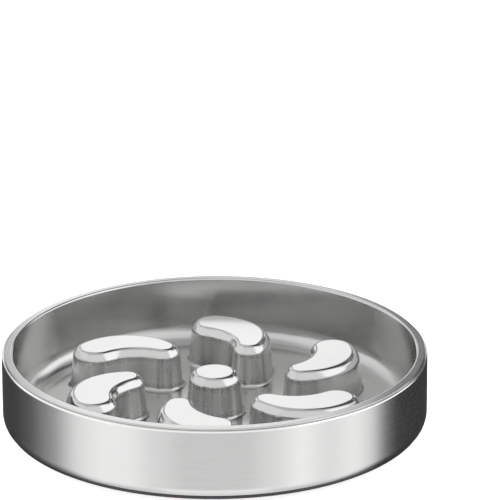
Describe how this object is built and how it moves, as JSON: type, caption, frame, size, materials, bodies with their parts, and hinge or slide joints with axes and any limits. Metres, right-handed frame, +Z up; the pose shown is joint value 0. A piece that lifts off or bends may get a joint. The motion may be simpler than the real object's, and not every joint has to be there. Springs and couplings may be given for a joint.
{
  "type": "slow feeder dog bowl",
  "caption": "Double walled round steel pet bowl with kidney shaped islands and a centre boss that slow eating, on a segmented rubber grip ring.",
  "frame": {"origin": "on the ground under the middle of the bowl, at the underside of the grip ring", "axes": "+Z is up, along the bowl's axis. One island's outer end points along +Y, with the other five at 60 degree steps. -Y faces the viewer of the picture, and +X is to their right."},
  "size_m": [0.28, 0.28, 0.0545],
  "materials": {
    "pan_steel": "polished pressed sheet, satin brushed rim",
    "skirt_steel": "satin brushed round the band",
    "base_steel": "spun in fine circles",
    "grip_rubber": "matte, finely grained",
    "adhesive": "dull, hidden"
  },
  "bodies": {
    "root": {"feeding_pan": "pan_steel", "outer_skirt": "skirt_steel", "base_plate": "base_steel", "grip_ring": "grip_rubber", "adhesive_ring": "adhesive"}
  },
  "joints": []
}
